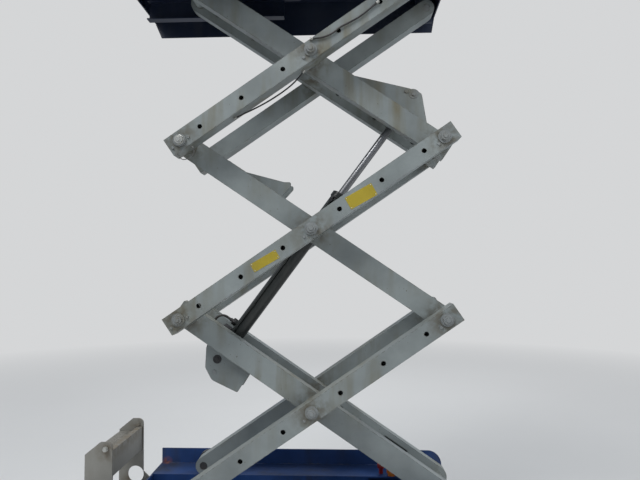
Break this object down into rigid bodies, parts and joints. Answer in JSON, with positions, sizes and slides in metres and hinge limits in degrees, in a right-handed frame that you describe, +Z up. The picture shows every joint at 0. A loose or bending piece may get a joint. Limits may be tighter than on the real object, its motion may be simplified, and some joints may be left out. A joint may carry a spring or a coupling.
{
  "type": "scissor lift",
  "caption": "Small self-propelled electric scissor lift: narrow chassis on solid tyres, stacked crossed arms with a lift cylinder, and a railed work platform.",
  "frame": {"origin": "on the ground under the middle of the machine's outline", "axes": "+X to the front, the end of the fixed arm pins and the steered wheels; +Y to the machine's left; +Z up"},
  "size_m": [1.732, 0.76, 4.3121],
  "materials": {
    "chassis_blue": "gloss paint, worn",
    "arm_grey": "satin paint",
    "step_grey": "satin paint",
    "axle_black": "satin paint",
    "pin_steel": "zinc plated",
    "roller_nylon": "moulded",
    "barrel_black": "satin paint",
    "rod_chrome": "hard chrome",
    "platform_blue": "satin paint",
    "floor_steel": "tread plate",
    "rail_blue": "gloss paint",
    "rim_white": "gloss paint",
    "tyre_grey": "non-marking solid rubber",
    "box_grey": "moulded",
    "cable_black": "sheathed cable",
    "cable_grey": "sheathed wire",
    "unit_black": "moulded"
  },
  "bodies": {
    "chassis": {"chassis_frame": "chassis_blue", "rear_step": "step_grey", "front_axle": "axle_black", "rear_axle": "axle_black", "pothole_guards": "chassis_blue", "ground_control": "box_grey", "base_pins": "pin_steel"},
    "wheel_front_right": {"rim_front_right": "rim_white", "tyre_front_right": "tyre_grey"},
    "wheel_front_left": {"rim_front_left": "rim_white", "tyre_front_left": "tyre_grey"},
    "wheel_rear_right": {"rim_rear_right": "rim_white", "tyre_rear_right": "tyre_grey"},
    "wheel_rear_left": {"rim_rear_left": "rim_white", "tyre_rear_left": "tyre_grey"},
    "knuckle_right": {"steering_knuckle_right": "axle_black"},
    "knuckle_left": {"steering_knuckle_left": "axle_black"},
    "tie_rod": {"tie_rod": "axle_black"},
    "tray_right": {"side_tray_right": "chassis_blue", "battery_block": "unit_black"},
    "tray_left": {"side_tray_left": "chassis_blue", "hydraulic_unit": "unit_black"},
    "inner_1": {"inner_frame_1": "arm_grey", "arm_pins_1": "pin_steel"},
    "outer_1": {"outer_arms_1": "arm_grey", "base_rollers": "roller_nylon"},
    "outer_2": {"outer_arms_2": "arm_grey"},
    "inner_2": {"inner_frame_2": "arm_grey", "arm_pins_2": "pin_steel"},
    "inner_3": {"inner_frame_3": "arm_grey", "arm_pins_3": "pin_steel", "top_rollers": "roller_nylon"},
    "outer_3": {"outer_arms_3": "arm_grey", "cable_clips": "pin_steel", "arm_cable": "cable_black", "slack_cable": "cable_black", "end_wire": "cable_grey"},
    "cylinder_barrel": {"cylinder_barrel": "barrel_black", "cylinder_valve": "axle_black", "valve_hose": "cable_black"},
    "cylinder_rod": {"cylinder_rod": "rod_chrome"},
    "platform": {"platform_frame": "platform_blue", "platform_floor": "floor_steel", "guardrail_right": "rail_blue", "guardrail_left": "rail_blue", "guardrail_front": "rail_blue", "guardrail_rear": "rail_blue", "platform_control": "box_grey", "top_pins": "pin_steel"},
    "gate": {"entry_gate": "rail_blue"}
  },
  "joints": [
    {"name": "lift", "type": "hinge", "parent": "chassis", "child": "inner_1", "pos_m": [0.787, 0, 0.5], "axis": [0, 1, 0], "range_deg": [-29, 26]},
    {"name": "outer_1_pivot", "type": "hinge", "parent": "inner_1", "child": "outer_1", "pos_m": [0.18737, 0, 0.90751], "axis": [0, 1, 0], "range_deg": [-52.5, 58.5]},
    {"name": "outer_2_pivot", "type": "hinge", "parent": "inner_1", "child": "outer_2", "pos_m": [-0.41227, 0, 1.31502], "axis": [0, 1, 0], "range_deg": [-52.5, 58.5]},
    {"name": "inner_2_pivot", "type": "hinge", "parent": "outer_2", "child": "inner_2", "pos_m": [0.18737, 0, 1.72253], "axis": [0, 1, 0], "range_deg": [-58.5, 52.5]},
    {"name": "inner_3_pivot", "type": "hinge", "parent": "outer_2", "child": "inner_3", "pos_m": [0.787, 0, 2.13004], "axis": [0, 1, 0], "range_deg": [-58.5, 52.5]},
    {"name": "outer_3_pivot", "type": "hinge", "parent": "inner_3", "child": "outer_3", "pos_m": [0.18737, 0, 2.53755], "axis": [0, 1, 0], "range_deg": [-52.5, 58.5]},
    {"name": "platform_level", "type": "hinge", "parent": "outer_3", "child": "platform", "pos_m": [0.787, 0, 2.94506], "axis": [0, 1, 0], "range_deg": [-29.5, 26.5]},
    {"name": "cylinder_swing", "type": "hinge", "parent": "inner_1", "child": "cylinder_barrel", "pos_m": [-0.2796, 0, 1.10637], "axis": [0, 1, 0], "range_deg": [-51.2, 57.05]},
    {"name": "cylinder_stroke", "type": "slide", "parent": "cylinder_barrel", "child": "cylinder_rod", "axis": [0.5987, 0, 0.801], "range_m": [-0.4805, 0.431]},
    {"name": "gate_swing", "type": "hinge", "parent": "platform", "child": "gate", "pos_m": [-0.692, 0.262, 2.94506], "axis": [0, 0, 1], "range_deg": [0, 90]},
    {"name": "tray_right_swing", "type": "hinge", "parent": "chassis", "child": "tray_right", "pos_m": [-0.428, -0.376, 0.2], "axis": [0, 0, -1], "range_deg": [0, 90]},
    {"name": "tray_left_swing", "type": "hinge", "parent": "chassis", "child": "tray_left", "pos_m": [-0.428, 0.376, 0.2], "axis": [0, 0, 1], "range_deg": [0, 90]},
    {"name": "steer_right", "type": "hinge", "parent": "chassis", "child": "knuckle_right", "pos_m": [0.676, -0.24, 0.16], "axis": [0, 0, 1], "range_deg": [-50, 50]},
    {"name": "steer_left", "type": "hinge", "parent": "chassis", "child": "knuckle_left", "pos_m": [0.676, 0.24, 0.16], "axis": [0, 0, 1], "range_deg": [-50, 50]},
    {"name": "tie_rod_slide", "type": "slide", "parent": "chassis", "child": "tie_rod", "axis": [0, 1, 0], "range_m": [-0.06, 0.06]},
    {"name": "spin_front_right", "type": "hinge", "parent": "knuckle_right", "child": "wheel_front_right", "pos_m": [0.676, -0.32, 0.16], "axis": [0, 1, 0], "continuous": true},
    {"name": "spin_front_left", "type": "hinge", "parent": "knuckle_left", "child": "wheel_front_left", "pos_m": [0.676, 0.32, 0.16], "axis": [0, 1, 0], "continuous": true},
    {"name": "spin_rear_right", "type": "hinge", "parent": "chassis", "child": "wheel_rear_right", "pos_m": [-0.624, -0.32, 0.16], "axis": [0, 1, 0], "continuous": true},
    {"name": "spin_rear_left", "type": "hinge", "parent": "chassis", "child": "wheel_rear_left", "pos_m": [-0.624, 0.32, 0.16], "axis": [0, 1, 0], "continuous": true}
  ],
  "couplings": [
    {"joint": "outer_1_pivot", "follows": "lift", "ratio": -2},
    {"joint": "outer_2_pivot", "follows": "lift", "ratio": -2},
    {"joint": "inner_2_pivot", "follows": "lift", "ratio": 2},
    {"joint": "inner_3_pivot", "follows": "lift", "ratio": 2},
    {"joint": "outer_3_pivot", "follows": "lift", "ratio": -2},
    {"joint": "platform_level", "follows": "lift", "ratio": 1},
    {"joint": "cylinder_swing", "follows": "lift", "ratio": -1.95},
    {"joint": "cylinder_stroke", "follows": "lift", "m_per_rad": 0.94538},
    {"joint": "steer_left", "follows": "steer_right", "ratio": 1},
    {"joint": "tie_rod_slide", "follows": "steer_right", "m_per_rad": -0.0527}
  ]
}
